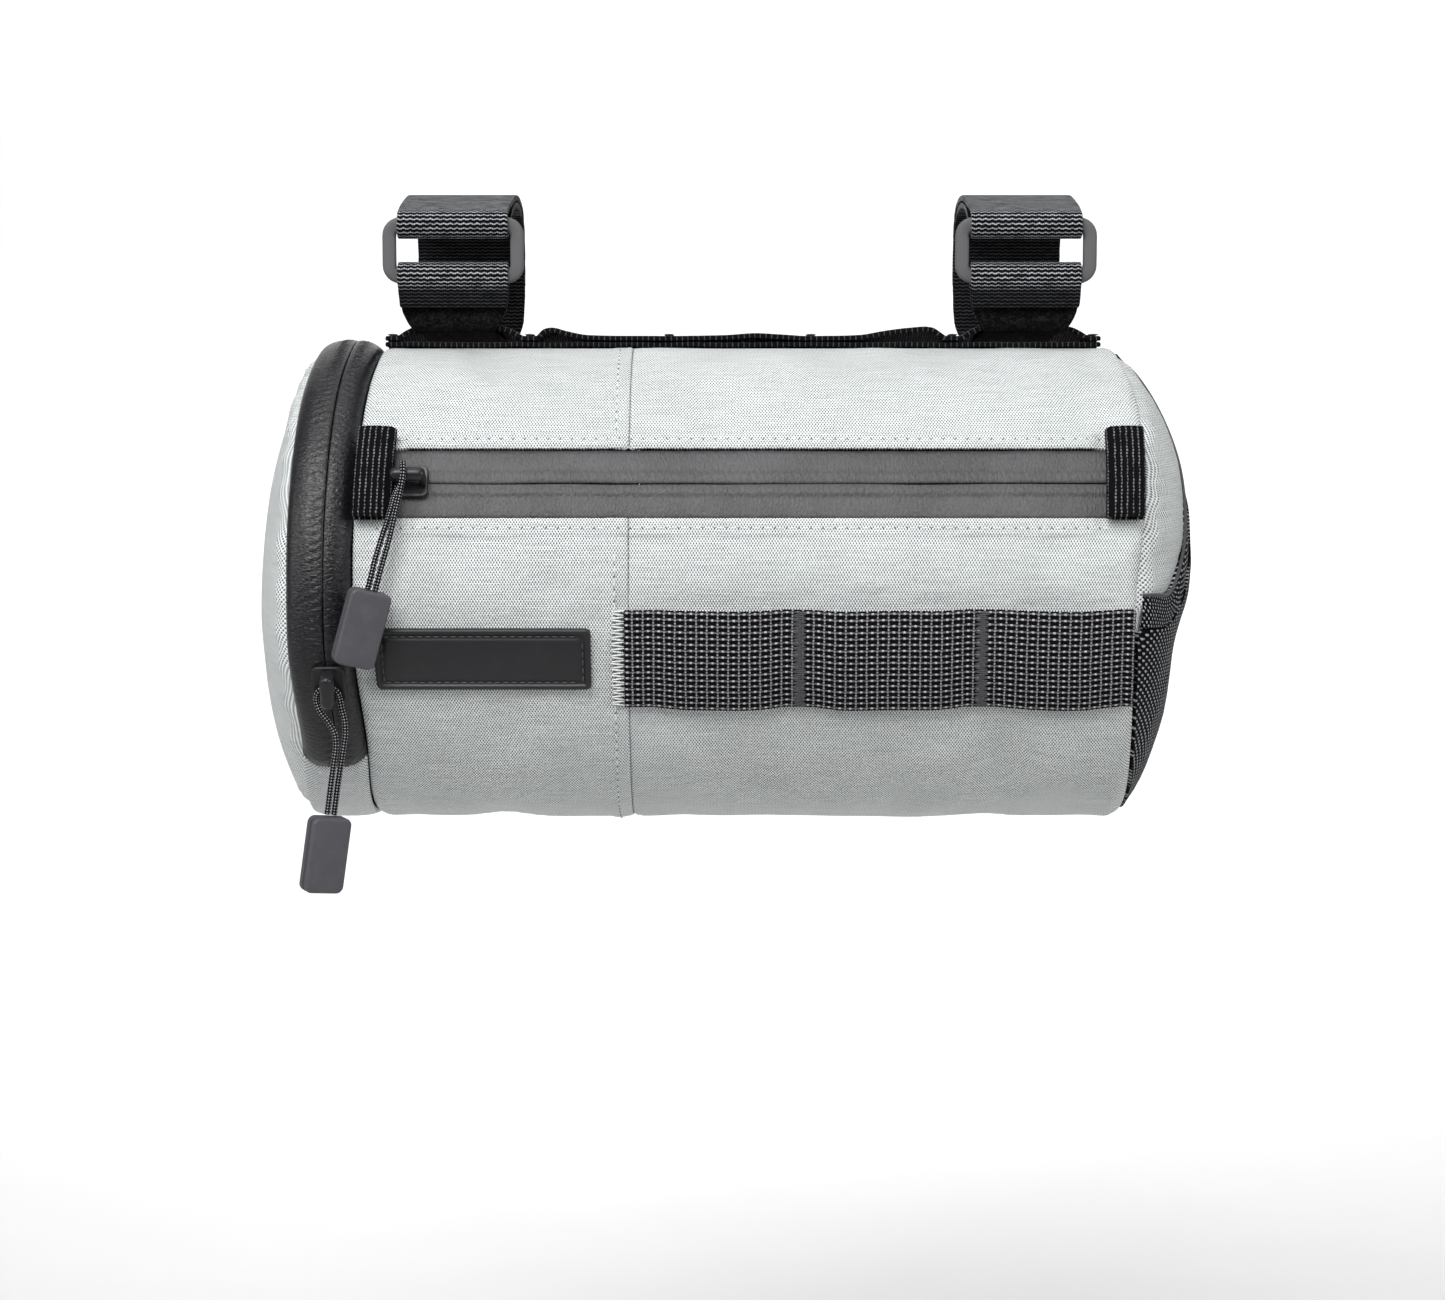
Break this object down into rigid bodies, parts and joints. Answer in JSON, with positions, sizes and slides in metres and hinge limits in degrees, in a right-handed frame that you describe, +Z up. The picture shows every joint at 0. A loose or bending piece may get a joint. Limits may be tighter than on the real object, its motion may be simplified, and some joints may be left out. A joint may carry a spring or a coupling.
{
  "type": "bicycle handlebar bag",
  "caption": "Barrel-shaped fabric handlebar bag with a front zip, a side zip, a lash strip, an end pocket and cinch straps that wrap a handlebar.",
  "frame": {"origin": "the axis of the handlebar that the straps go round, midway between the two straps", "axes": "+X along the handlebar to the right as seen from the front, the zip front faces -Y, +Z up"},
  "size_m": [0.2431, 0.1359, 0.1748],
  "materials": {
    "light_fabric": "coarse woven light grey fabric",
    "zip_tape": "coated tape, finely creased, semi-matte",
    "side_tape": "coated black tape, satin",
    "pocket_fabric": "ballistic woven black fabric",
    "webbing": "ribbed nylon webbing",
    "strap_webbing": "hook-and-loop webbing, ribbed on one face",
    "moulded_rubber": "matte moulded rubber",
    "ring_plastic": "satin moulded nylon",
    "slider_metal": "black painted die-cast, satin",
    "cord": "braided cord, black with light flecks"
  },
  "bodies": {
    "root": {"body_panel_left": "light_fabric", "body_panel_right": "light_fabric", "front_zip_tape_upper": "zip_tape", "front_zip_tape_lower": "zip_tape", "front_zip_slider": "slider_metal", "front_pull_cord": "cord", "front_pull_tab": "moulded_rubber", "zip_tab_left": "webbing", "zip_tab_right": "webbing", "lash_webbing": "webbing", "label_patch": "moulded_rubber", "side_zip_tape_inner": "side_tape", "side_zip_tape_outer": "side_tape", "side_zip_slider": "slider_metal", "side_pull_cord": "cord", "side_pull_tab": "moulded_rubber", "gusset_lower": "light_fabric", "end_panel_left": "light_fabric", "end_panel_right": "light_fabric", "side_pocket": "pocket_fabric", "side_pocket_hem": "pocket_fabric", "daisy_base": "webbing", "daisy_loops": "webbing", "strap_left": "strap_webbing", "strap_right": "strap_webbing", "buckle_left": "ring_plastic", "buckle_right": "ring_plastic"}
  },
  "joints": []
}
